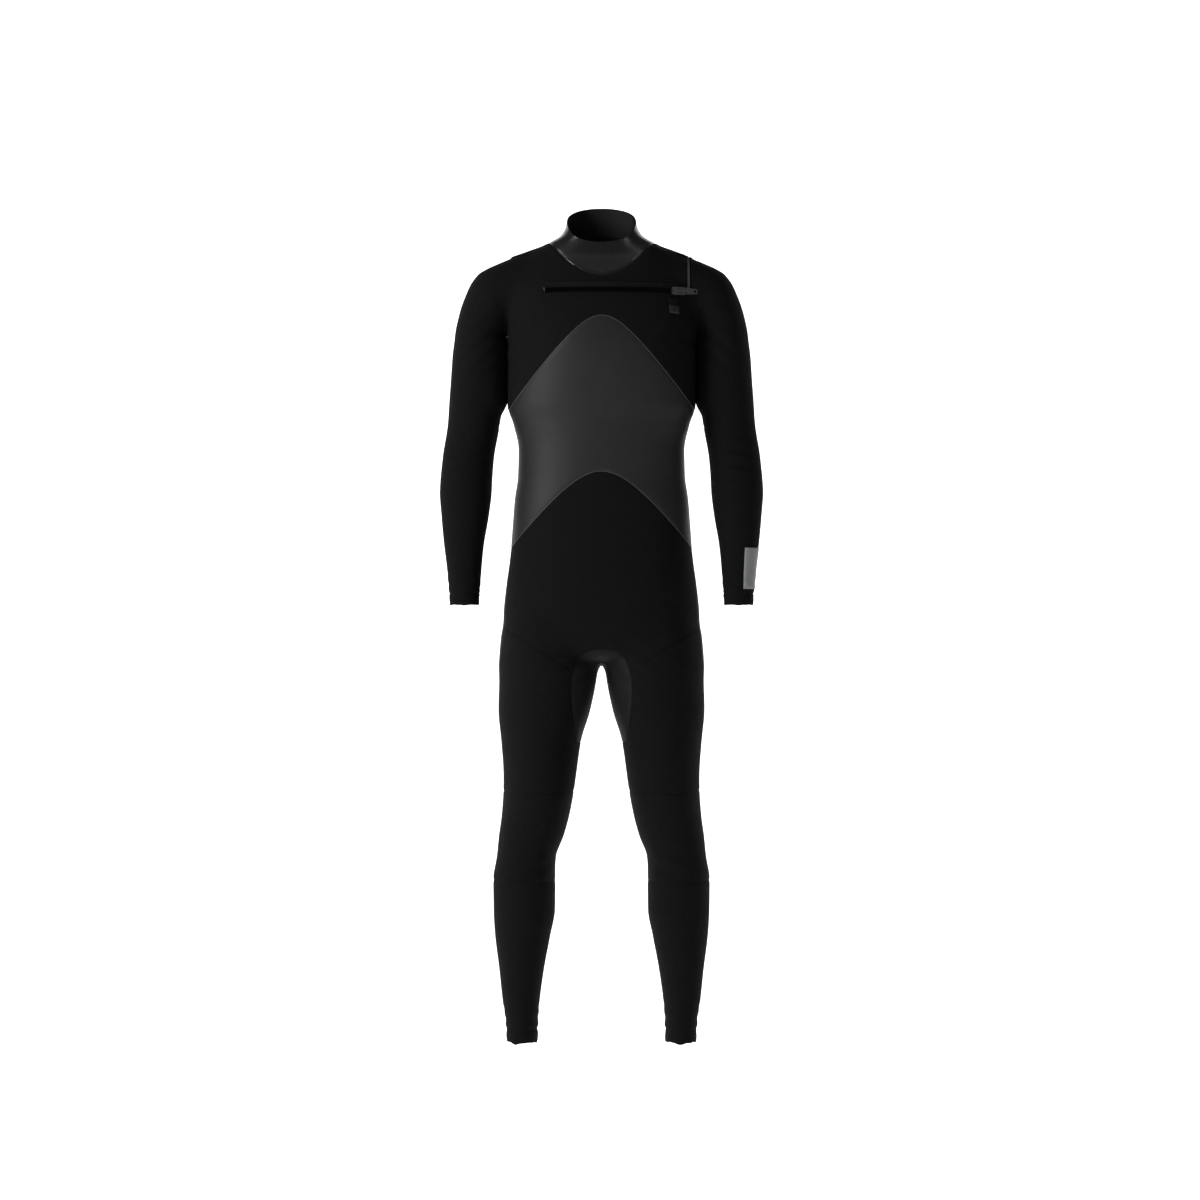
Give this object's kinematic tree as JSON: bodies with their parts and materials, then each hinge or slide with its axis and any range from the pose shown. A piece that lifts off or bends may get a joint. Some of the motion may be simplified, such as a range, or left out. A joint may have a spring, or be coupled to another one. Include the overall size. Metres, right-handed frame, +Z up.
{
  "type": "full wetsuit",
  "caption": "Long-sleeved full-length neoprene wetsuit with a horizontal chest zip, a lifting collar flap, smooth-skin torso panel and bending elbows and knees, hollow.",
  "frame": {"origin": "the fork, the point between the legs where the wearer's body carries the suit", "axes": "+Z up along the body, front of the suit faces -Y, +X towards the wearer's left"},
  "size_m": [0.5746, 0.255, 1.497],
  "materials": {
    "jersey": "matte black knitted jersey on neoprene foam",
    "smooth_skin": "charcoal smooth-skin neoprene, fine embossed grain, semi-matte",
    "collar_skin": "dark smooth-skin neoprene, soft gloss",
    "hip_skin": "dark textured neoprene, matte",
    "edge_tape": "light grey bonded edge tape",
    "zip_tape": "black woven tape",
    "zip_teeth": "black moulded plastic",
    "slider_metal": "satin die-cast metal",
    "puller_metal": "dark coated metal",
    "moulded_rubber": "moulded rubber",
    "patch_rubber": "light grey heat-bonded rubber patch"
  },
  "bodies": {
    "suit": {"crotch_gusset": "hip_skin", "left_hip_panel": "hip_skin", "right_hip_panel": "hip_skin", "upper_chest_panel": "jersey", "torso_panel_front": "smooth_skin", "torso_panel_back": "smooth_skin", "back_yoke": "jersey", "seat_panel": "jersey", "lower_front_panel": "jersey", "right_front_yoke": "jersey", "lower_zip_tape": "zip_tape", "lower_zip_teeth": "zip_teeth", "lower_top_stop": "slider_metal", "zip_bottom_stop": "slider_metal", "entry_bib": "smooth_skin", "tab_webbing": "zip_tape", "tab_rubber_end": "moulded_rubber", "left_thigh_front": "jersey", "left_thigh_back": "jersey", "left_knee_pad": "hip_skin", "left_knee_back": "jersey", "left_upper_sleeve": "jersey", "left_inner_elbow": "jersey", "left_elbow_pad": "hip_skin", "right_thigh_front": "jersey", "right_thigh_back": "jersey", "right_knee_pad": "hip_skin", "right_knee_back": "jersey", "right_upper_sleeve": "jersey", "right_inner_elbow": "jersey", "right_elbow_pad": "hip_skin"},
    "chest_flap": {"collar": "collar_skin", "chest_flap_fold": "jersey", "chest_flap_panel": "jersey", "flap_edge_binding": "edge_tape", "upper_zip_tape": "zip_tape", "upper_zip_teeth": "zip_teeth", "upper_top_stop": "slider_metal"},
    "zip_slider": {"zip_slider": "slider_metal"},
    "zip_puller": {"zip_puller": "puller_metal"},
    "left_forearm": {"left_forearm_sleeve": "jersey", "left_wrist_cuff": "jersey", "forearm_label": "patch_rubber"},
    "left_shin": {"left_shin_panel": "jersey", "left_calf_panel": "jersey", "left_ankle_cuff": "jersey"},
    "right_forearm": {"right_forearm_sleeve": "jersey", "right_wrist_cuff": "jersey"},
    "right_shin": {"right_shin_panel": "jersey", "right_calf_panel": "jersey", "right_ankle_cuff": "jersey"}
  },
  "joints": [
    {"name": "zip_travel", "type": "hinge", "parent": "suit", "child": "zip_slider", "pos_m": [0, 0.19495, 0.657], "axis": [0, 0, -1], "range_deg": [0, 43.8]},
    {"name": "puller_flip", "type": "hinge", "parent": "zip_slider", "child": "zip_puller", "pos_m": [0.13662, -0.06994, 0.657], "axis": [0, 0, -1], "range_deg": [0, 165]},
    {"name": "flap_open", "type": "hinge", "parent": "suit", "child": "chest_flap", "pos_m": [-0.038, -0.0984, 0.657], "axis": [0, -0.8398, -0.5429], "range_deg": [0, 35.04], "deforming": ["collar", "chest_flap_fold", "upper_zip_tape", "upper_zip_teeth"]},
    {"name": "left_elbow_bend", "type": "hinge", "parent": "suit", "child": "left_forearm", "pos_m": [0.238, 0.005, 0.366], "axis": [-1, 0, 0], "range_deg": [0, 85], "deforming": ["left_inner_elbow", "left_elbow_pad"]},
    {"name": "left_knee_bend", "type": "hinge", "parent": "suit", "child": "left_shin", "pos_m": [0.125, 0, -0.307], "axis": [1, 0, 0], "range_deg": [0, 85], "deforming": ["left_knee_pad", "left_knee_back"]},
    {"name": "right_elbow_bend", "type": "hinge", "parent": "suit", "child": "right_forearm", "pos_m": [-0.238, 0.005, 0.366], "axis": [-1, 0, 0], "range_deg": [0, 85], "deforming": ["right_inner_elbow", "right_elbow_pad"]},
    {"name": "right_knee_bend", "type": "hinge", "parent": "suit", "child": "right_shin", "pos_m": [-0.125, 0, -0.307], "axis": [1, 0, 0], "range_deg": [0, 85], "deforming": ["right_knee_pad", "right_knee_back"]}
  ],
  "couplings": [
    {"joint": "flap_open", "follows": "zip_travel", "ratio": 0.8}
  ]
}
